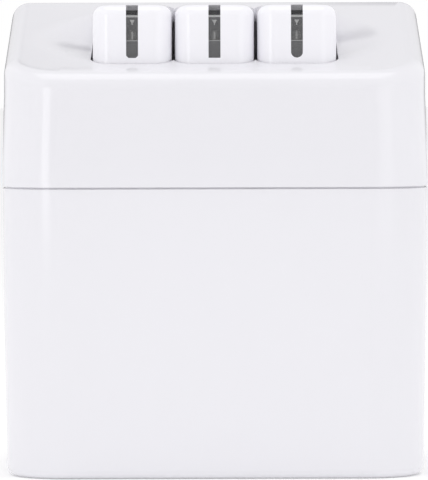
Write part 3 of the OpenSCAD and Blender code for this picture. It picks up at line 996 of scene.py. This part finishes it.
@dataclass
class LitKey:
    """One push key with its smoked window, its lamp and the lamp's holder."""

    place: Place
    foot: WindowFoot
    side_r: float = 2.7
    top_r: float = 1.7
    wall: float = 1.4
    depth: float = 31.8
    skirt_h: float = 13.1
    bulb_r: float = 0.62
    bulb_h: float = 1.2
    lead_w: float = 0.26
    lead_t: float = 0.2
    ledge_z: float = 70.1
    ledge_t: float = 0.32
    holder_back: float = 3.0
    cheek: float = 0.8
    pip_profile: tuple[tuple[float, float], ...] = (
        (0.0, -0.8), (0.12, -0.72), (0.05, -0.6), (0.34, -0.1), (0.34, 0.0), (0.0, 0.0))

    def __post_init__(self) -> None:
        """Takes the key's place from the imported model."""
        low, high = corners(f"key_{self.place.word}")
        self.window_low, self.window_high = corners(f"window_{self.place.word}")
        self.front = self.window_low.y
        self.low = Vector((low.x, self.front, high.z - self.skirt_h))
        self.high = Vector((high.x, self.front + self.depth, high.z))
        self.middle = (low.x + high.x) / 2
        self.body = f"key_{self.place.word}"

    def strip(self) -> list[Plane]:
        """The planes round the window, but for its lower end."""
        half = (self.window_high.x - self.window_low.x) / 2
        return [(RIGHT * (self.middle + side * half), RIGHT * side) for side in (-1, 1)] + [
            (BACK * self.window_high.y, BACK)]

    def lower_end(self) -> list[Plane]:
        """The planes of the window's lower end."""
        half = (self.window_high.x - self.window_low.x) / 2
        low = self.window_low.z
        if self.foot is WindowFoot.ROUND:
            centre = Vector((self.middle, 0.0, low + half))
            turns = [math.radians(a) for a in range(190, 360, 10)]
            normals = [Vector((math.cos(a), 0.0, math.sin(a))) for a in turns]
            return [(centre + n * half, n) for n in normals]
        planes = [(UP * low, -UP)]
        if self.foot is WindowFoot.BEVELLED:
            for side in (-1, 1):
                normal = Vector((side, 0.0, -1.0)).normalized()
                planes.append((Vector((self.middle + side * (half - 0.35), 0.0, low)), normal))
        return planes

    def shape(self) -> tuple[Solid, list[BMFace]]:
        """Builds the key's rounded skin, open underneath.

        Returns:
            The skin, and its faces that lie in the window.
        """
        solid = Solid()
        solid.box(self.low, self.high)
        solid.bevel(solid.upright_edges(), self.side_r, 9)
        roof = solid.facing(UP)
        solid.bevel([e for f in roof for e in f.edges], self.top_r, 9)
        solid.delete(solid.facing(-UP))
        solid.levels((self.low.z + 3.0, self.low.z + 6.0, self.low.z + 9.0))
        near = [f for f in solid.bm.faces if f.normal.dot(BACK) < 0.01 and abs(f.normal.x) < 0.5]
        return solid, solid.within(near, self.strip() + self.lower_end())

    def cap(self) -> None:
        """Builds the key's white body."""
        solid, window = self.shape()
        solid.delete(window)
        solid.outward()
        piece = solid.build(f"{self.body}_cap", KEY_WHITE, 0.07, self.wall - 0.1)
        settle(piece, self.body, self.body)

    def window(self) -> None:
        """Builds the smoked window."""
        solid, window = self.shape()
        keep = set(window)
        solid.delete([f for f in solid.bm.faces if f not in keep])
        solid.outward()
        for vert in solid.bm.verts:
            vert.co.x = self.middle + (vert.co.x - self.middle) * 0.985
        piece = solid.build(f"window_{self.place.word}_lens", WINDOW_SMOKE, 0.04, self.wall - 0.2)
        settle(piece, self.body, f"window_{self.place.word}")

    def lamp(self) -> None:
        """Builds the glass lamp, the lead inside it and the light pip above it."""
        packed = corners(f"lamp_{self.place.word}")
        centre = Vector((self.middle, (packed[0].y + packed[1].y) / 2, packed[0].z))
        dome = [(self.bulb_r * math.cos(a), self.bulb_h + self.bulb_r * 0.8 * math.sin(a))
                for a in (math.radians(15 * step) for step in range(7))]
        bulb = Solid()
        bulb.turned([(0.0, 0.0), (self.bulb_r * 1.2, 0.0), (self.bulb_r * 1.2, 0.12), *dome], centre)
        bulb.outward()
        settle(bulb.build(f"lamp_{self.place.word}_bulb", LAMP_GLASS), self.body, f"lamp_{self.place.word}")
        lead = Solid()
        low = centre + Vector((-self.lead_w / 2, -self.bulb_r * 0.8, 0.2))
        lead.block(low, low + Vector((self.lead_w, self.lead_t, self.bulb_h)), 0.04)
        lead.outward()
        # The lead's finish carries a painted glow.
        settle(lead.build(f"lamp_{self.place.word}_lead", LAMP_CORE_PAINTED_GLOW), self.body)
        pip = Solid()
        tip = Vector((centre.x, self.front + self.wall + 0.5, packed[1].z))
        pip.turned(self.pip_profile, tip, steps=16)
        pip.outward()
        # The pip's finish carries a painted glow.
        settle(pip.build(f"lamp_{self.place.word}_pip", LAMP_CORE_PAINTED_GLOW), self.body)

    def holder(self) -> None:
        """Builds the lamp's dark holder with its shelf and its ledge, and a black strip of painted shade
        above the ledge.
        """
        low, high = corners(f"lamp_holder_{self.place.word}")
        shelf = corners(f"lamp_{self.place.word}")[0].z
        frame = Solid()
        frame.block(low, (high.x, high.y, shelf), 0.12)
        frame.block((low.x, low.y + self.holder_back, shelf - 0.2), (high.x, high.y, high.z), 0.1)
        for side in (low.x, high.x - self.cheek):
            frame.block((side, low.y, shelf - 0.2), (side + self.cheek, high.y, high.z), 0.1)
        frame.outward()
        name = f"lamp_holder_{self.place.word}"
        # The frame's finish carries a painted glow.
        settle(frame.build(f"{name}_frame", HOLDER_DARK_PAINTED_GLOW), self.body, name)
        trim = Solid()
        left, right = low.x + self.cheek, high.x - self.cheek
        trim.block((left, low.y + 0.05, shelf - 0.04), (right, low.y + 0.35, shelf + 0.07), 0.03)
        trim.block((left, low.y + 0.1, self.ledge_z), (right, low.y + 1.2, self.ledge_z + self.ledge_t), 0.06)
        trim.outward()
        # The ledge's finish carries a painted glow.
        settle(trim.build(f"{name}_ledge", LAMP_CORE_PAINTED_GLOW), self.body)
        # Painted shade: a black strip behind the window that stands for the shade under the key's roof above
        # the ledge.
        painted_shade_strip = Solid()
        foot, top = self.ledge_z + 0.38, self.ledge_z + 1.05
        painted_shade_strip.block((low.x + 0.6, low.y, foot), (high.x - 0.6, low.y + 0.35, top), 0.05)
        painted_shade_strip.outward()
        settle(painted_shade_strip.build(f"{name}_visor", PART_BLACK), self.body)

    def build(self) -> None:
        """Builds all the key's pieces."""
        self.cap()
        self.window()
        self.lamp()
        self.holder()


# ---------------------------------------------------------------------------------------------
# Folding plug
# ---------------------------------------------------------------------------------------------


@dataclass
class FoldingPlug:
    """The plug's cup in the back wall, its barrel and its two blades."""

    edge_r: float = 0.5
    slot_half: float = 1.15
    slot_low: float = 10.0
    slot_high: float = 39.2
    notch_half: float = 8.0
    notch_low: float = 12.0
    notch_high: float = 19.5
    notch_deep: float = 3.4
    slot_deep: float = 3.85
    cradle_deep: float = 1.6
    tail_deep: float = 0.85
    tail_half: float = 2.8
    cradle_half: float = 9.8
    cradle_up: float = 4.5
    barrel_r: float = 4.2
    barrel_half: float = 9.6
    journal_r: float = 1.6
    hole_r: float = 1.6
    hole_up: float = 5.8
    tip: float = 1.2
    blade_tail_half: float = 1.5

    def __post_init__(self) -> None:
        """Takes the plug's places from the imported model."""
        low, high = corners("plug_barrel")
        self.pivot = (low + high) / 2
        self.half = high.x

    def cup(self) -> None:
        """Builds the cup with the barrel's cradle, the blades' slots and the finger notch."""
        low, high = corners("plug_cup")
        solid = Solid()
        solid.box(low, high)
        solid.bevel([e for e in solid.bm.edges if (e.verts[0].co - e.verts[1].co).cross(BACK).length < 1e-4],
                    self.edge_r, 4)
        z = self.pivot.z
        cradle = (Vector((-self.cradle_half, 0.0, z - self.cradle_up)),
                  Vector((self.cradle_half, 0.0, z + self.cradle_up)))
        notch = (Vector((-self.notch_half, 0.0, self.notch_low)),
                 Vector((self.notch_half, 0.0, self.notch_high)))
        slots, tails = [], []
        for node in ("blade_left", "blade_right"):
            blade_low, blade_high = corners(node)
            x = (blade_low.x + blade_high.x) / 2
            slots.append((Vector((x - self.slot_half, 0.0, self.slot_low)),
                          Vector((x + self.slot_half, 0.0, self.slot_high))))
            tails.append((Vector((x - self.slot_half, 0.0, z - self.tail_half)),
                          Vector((x + self.slot_half, 0.0, z + self.tail_half))))
        solid.press(BACK, self.notch_deep, [notch, cradle, *slots])
        solid.press(BACK, self.slot_deep, [cradle, *slots])
        solid.press(BACK, self.cradle_deep, [cradle])
        solid.press(BACK, self.tail_deep, tails)
        solid.merge_flat()
        solid.outward()
        settle(solid.build("plug_cup_insert", CUP_WHITE, 0.18), "root", "plug_cup")

    def barrel(self) -> None:
        """Builds the barrel with its journals and its grip grooves."""
        edge, r, end = 0.35, self.barrel_r, self.barrel_half
        half = [(0.0, self.half), (self.journal_r, self.half), (self.journal_r, end),
                (r - edge, end), (r, end - edge)]
        for groove in (3.6, 2.4, 1.2):
            half += [(r, groove + 0.3), (r - 0.22, groove + 0.1), (r - 0.22, groove - 0.1), (r, groove - 0.3)]
        profile = half + [(reach, -place) for reach, place in reversed(half)]
        solid = Solid()
        solid.turned(profile, self.pivot, RIGHT, 64)
        solid.outward()
        settle(solid.build("plug_barrel_turned", BARREL_WHITE), "plug", "plug_barrel")

    def blade(self, word: str) -> None:
        """Builds one blade with its hole, its chamfered tip and its contact tail.

        Args:
            word: Which blade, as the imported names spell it.
        """
        low, high = corners(f"blade_{word}")
        neck = self.pivot.z + 1.0
        solid = Solid()
        solid.box(low, (high.x, high.y, neck))
        tips = [e for e in solid.bm.edges if all(abs(v.co.z - low.z) < 1e-3 for v in e.verts)
                and abs(e.verts[0].co.y - e.verts[1].co.y) < 1e-3]
        solid.bevel(tips, self.tip, 3)
        centre = Vector((0.0, (low.y + high.y) / 2, low.z + self.hole_up))
        solid.pierce(RIGHT, rounded_sides(centre, BACK, UP, (self.hole_r, self.hole_r), self.hole_r, 12))
        tail = (self.pivot.y - self.blade_tail_half, self.pivot.y + self.blade_tail_half)
        solid.box((low.x + 0.02, tail[0], neck - 0.5), (high.x - 0.02, tail[1], high.z))
        solid.outward()
        settle(solid.build(f"blade_{word}_pressed", NICKEL, 0.2), "plug", f"blade_{word}")

    def build(self) -> None:
        """Builds all the plug's pieces."""
        self.cup()
        self.barrel()
        self.blade("left")
        self.blade("right")


# ---------------------------------------------------------------------------------------------
# Sockets and screws underneath
# ---------------------------------------------------------------------------------------------


@dataclass
class Sockets:
    """The socket plate and the three sockets in it."""

    plate_r: float = 2.0
    gap: float = 0.15
    shell_wall: float = 0.3
    root_h: float = 1.8
    tongue_half_w: float = 3.35
    tongue_half_t: float = 0.35
    contacts: int = 12
    contact_pitch: float = 0.5
    contact_w: float = 0.28
    contact_proud: float = 0.03

    def mouth(self, place: Place, grow: float, radius_less: float = 0.02) -> list[Plane]:
        """The outline of a socket's shell, grown outwards.

        Args:
            place: Which socket.
            grow: How much it is grown.
            radius_less: How much smaller its radius is than half its height.

        Returns:
            The outline's planes.
        """
        low, high = corners(f"port_shell_{place.word}")
        half = ((high.x - low.x) / 2 + grow, (high.y - low.y) / 2 + grow)
        return rounded_sides((low + high) / 2, RIGHT, BACK, half, half[1] - radius_less)

    def plate(self) -> None:
        """Builds the plate round the sockets."""
        low, high = corners("port_plate")
        solid = Solid()
        solid.box(low, high)
        solid.bevel(solid.upright_edges(), self.plate_r, 8)
        for place in Place:
            solid.pierce(UP, self.mouth(place, self.gap))
        solid.outward()
        settle(solid.build("port_plate_pierced", PLATE_GREY, 0.1), "root", "port_plate")

    def shell(self, place: Place) -> None:
        """Builds a socket's folded metal shell."""
        low, high = corners(f"port_shell_{place.word}")
        solid = Solid()
        solid.box(low, high)
        solid.bevel(solid.upright_edges(), (high.y - low.y) / 2 - 0.02, 10)
        solid.pierce(UP, self.mouth(place, -self.shell_wall))
        solid.outward()
        name = f"port_shell_{place.word}"
        settle(solid.build(f"{name}_folded", NICKEL, 0.07), "root", name)

    def tongue(self, place: Place) -> None:
        """Builds a socket's tongue with its root block and its contacts."""
        low, high = corners(f"port_tongue_{place.word}")
        middle = (low + high) / 2
        root = high.z - self.root_h
        across, thick = self.tongue_half_w, self.tongue_half_t
        body = Solid()
        body.block((low.x, low.y, root), high, 0.3)
        body.block((middle.x - across, middle.y - thick, low.z),
                   (middle.x + across, middle.y + thick, root + 0.2), 0.12)
        body.outward()
        name = f"port_tongue_{place.word}"
        settle(body.build(f"{name}_moulded", PART_BLACK), "root", name)
        rows = Solid()
        reach = thick + self.contact_proud
        for number in range(self.contacts):
            x = middle.x + (number - (self.contacts - 1) / 2) * self.contact_pitch
            rows.block((x - self.contact_w / 2, middle.y - reach, low.z + 0.5),
                       (x + self.contact_w / 2, middle.y + reach, root), 0.02, 1)
        rows.outward()
        settle(rows.build(f"port_contacts_{place.word}", BRASS), "root")

    def build(self) -> None:
        """Builds the plate and every socket."""
        self.plate()
        for place in Place:
            self.shell(place)
            self.tongue(place)


@dataclass
class CasingScrews:
    """The four pan-head screws sunk in the standing face."""

    head_r: float = 2.75
    head_h: float = 2.0
    shank_r: float = 1.25
    flat_r: float = 1.9
    arm: float = 1.6
    arm_half: float = 0.33
    recess: float = 0.9

    def build(self) -> None:
        """Builds the screws as one piece."""
        low, high = corners("casing_screws")
        together = Solid()
        for x in (low.x + self.head_r, high.x - self.head_r):
            for y in (low.y + self.head_r, high.y - self.head_r):
                self.add(together, Vector((x, y, low.z)), high.z - low.z)
        together.outward()
        settle(together.build("casing_screws_driven", STEEL), "root", "casing_screws")

    def add(self, solid: Solid, foot: Vector, length: float) -> None:
        """Adds one screw.

        Args:
            solid: The solid it joins.
            foot: The middle of its head's outer face.
            length: Its whole length.
        """
        crown = [(self.flat_r + (self.head_r - self.flat_r) * math.sin(a), 0.9 * (1.0 - math.cos(a)))
                 for a in (math.radians(18 * step) for step in range(6))]
        solid.turned([(0.0, 0.0), *crown, (self.head_r, self.head_h), (self.shank_r, self.head_h),
                      (self.shank_r, length - 1.0), (0.3, length), (0.0, length)], foot, UP, 32)
        arm = Vector((self.arm, self.arm_half, 0.0))
        turned = Vector((self.arm_half, self.arm, 0.0))
        near = [f for f in solid.facing(-UP, 0.9999) if (f.calc_center_median() - foot).length < self.flat_r]
        bmesh.ops.dissolve_faces(solid.bm, faces=near)
        solid.press(-UP, self.recess, [(foot - half, foot + half) for half in (arm, turned)])


# ---------------------------------------------------------------------------------------------
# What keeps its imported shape
# ---------------------------------------------------------------------------------------------


def dress_packed_nodes(frame: dict[str, Any]) -> None:
    """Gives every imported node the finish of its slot.
    """
    slots = {part["node"]: part["material_slot"] for part in frame["record"]["subparts"]}
    for name, node in frame["nodes"].items():
        node.data.materials.clear()
        node.data.materials.append(FINISHES[slots[name]].material())


# ---------------------------------------------------------------------------------------------
# Studio
# ---------------------------------------------------------------------------------------------


@dataclass
class Studio:
    """The floor, the lights, the sky and the camera."""

    distance: float = 695.0
    eye_z: float = 66.12
    eye_x: float = -0.15
    pitch: float = 2.45
    roll: float = -0.15
    lens: float = 345.0
    sky_front: float = 0.5
    sky_side: float = 1.05
    sky_high: float = 0.7
    sky_back: float = 0.68
    horizon: float = 0.25
    shades: tuple[tuple[float, float], ...] = ((0.075, 0.42), (-0.078, 0.58))

    def camera(self) -> None:
        """Places the camera in front of the charger, a little above its middle."""
        front = corners("top_cover")[0].y
        data = bpy.data.cameras.new("camera")
        data.lens = self.lens
        data.sensor_width = 36.0
        data.clip_end = 20.0
        camera = bpy.data.objects.new("camera", data)
        bpy.context.scene.collection.objects.link(camera)
        turn = Matrix.Rotation(math.radians(90.0 - self.pitch), 4, "X")
        spin = Matrix.Rotation(math.radians(self.roll), 4, "Z")
        eye = Vector((self.eye_x, front - self.distance, self.eye_z)) * MM
        camera.matrix_world = Matrix.Translation(eye) @ turn @ spin
        bpy.context.scene.camera = camera

    def floor(self) -> None:
        """Lays the pale floor."""
        solid = Solid()
        bmesh.ops.create_grid(solid.bm, x_segments=2, y_segments=2, size=4000.0)
        mesh = bpy.data.meshes.new("floor")
        bmesh.ops.scale(solid.bm, vec=(MM, MM, MM), verts=solid.bm.verts[:])
        solid.bm.to_mesh(mesh)
        solid.bm.free()
        floor = bpy.data.objects.new("floor", mesh)
        bpy.context.scene.collection.objects.link(floor)
        material = bpy.data.materials.new("floor_paper")
        material.use_nodes = True
        graph = Graph(material.node_tree)
        graph.surface(graph.node("ShaderNodeBsdfPrincipled", None, {
            "Base Color": (0.93, 0.93, 0.93), "Roughness": 0.9,
            "Emission Color": (1.0, 1.0, 1.0), "Emission Strength": 0.14,
        }))
        mesh.materials.append(material)

    def softbox(self, name: str, place: tuple[float, float, float], aim: tuple[float, float, float],
                size: tuple[float, float], watts: float) -> None:
        """Adds a rectangular light.

        Args:
            name: Its name.
            place: Where it stands, in millimetres.
            aim: What it faces, in millimetres.
            size: Its width and height, in millimetres.
            watts: Its power.
        """
        data = bpy.data.lights.new(name, "AREA")
        data.shape = "RECTANGLE"
        data.size, data.size_y = size[0] * MM, size[1] * MM
        data.energy = watts
        light = bpy.data.objects.new(name, data)
        bpy.context.scene.collection.objects.link(light)
        place, aim = Vector(place) * MM, Vector(aim) * MM
        turn = (aim - place).to_track_quat("-Z", "Y").to_matrix().to_4x4()
        light.matrix_world = Matrix.Translation(place) @ turn

    def lights(self) -> None:
        """Sets the soft lights and the even white sky."""
        world = bpy.data.worlds.new("sky")
        bpy.context.scene.world = world
        world.use_nodes = True
        graph = Graph(world.node_tree)
        seen = graph.node("ShaderNodeLightPath").out("Is Camera Ray")
        way = graph.node("ShaderNodeTexCoord").out("Generated")
        parts = graph.node("ShaderNodeSeparateXYZ", None, {"Vector": way})
        across, back, up = parts.out("X"), parts.out("Y"), parts.out("Z")
        ends = graph.ramp(back, -0.3, 0.3, self.sky_front, self.sky_back)
        around = graph.ramp(across * across, 0.03, 0.3, ends, self.sky_side)
        lit = graph.ramp(up, 0.6, 0.95, around, self.sky_high)
        low_down = graph.ramp(up, 0.04, 0.14, self.horizon, 1.0)
        lit = lit * graph.ramp(back, 0.8, 0.95, 1.0, low_down)
        for x, z in self.shades:
            off_x, off_z = across - x, up - z
            spot = graph.ramp(off_x * off_x + off_z * off_z, 0.001, 0.005, 0.04, 1.0)
            lit = lit * graph.ramp(back, 0.0, 0.5, 1.0, spot)
        level = seen * (1.0 - lit) + lit
        sky = graph.node("ShaderNodeBackground", None, {"Color": (1.0, 1.0, 1.0), "Strength": level})
        graph.node("ShaderNodeOutputWorld", None, {"Surface": sky.out()})
        middle = (0.0, 0.0, 50.0)
        self.softbox("left_box", (-400.0, -760.0, 60.0), middle, (220.0, 500.0), 0.6)
        self.softbox("right_box", (420.0, -700.0, 60.0), middle, (400.0, 500.0), 0.3)
        self.softbox("top_box", (0.0, -100.0, 800.0), middle, (700.0, 500.0), 1.6)

    def build(self) -> None:
        """Builds the studio."""
        self.camera()
        self.floor()
        self.lights()
        view = bpy.context.scene.view_settings
        view.view_transform = "Standard"
        view.look = "None"


def main() -> None:
    """Builds the charger and its studio."""
    logging.basicConfig(level=logging.INFO, format="%(name)s: %(message)s")
    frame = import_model()
    Studio().build()
    dress_packed_nodes(frame)
    casing = Casing()
    casing.cover()
    casing.body()
    casing.lip()
    feet = {Place.LEFT: WindowFoot.BEVELLED, Place.CENTRE: WindowFoot.SQUARE, Place.RIGHT: WindowFoot.ROUND}
    for place, foot in feet.items():
        LitKey(place, foot).build()
    FoldingPlug().build()
    Sockets().build()
    CasingScrews().build()


if __name__ == "__main__":
    main()
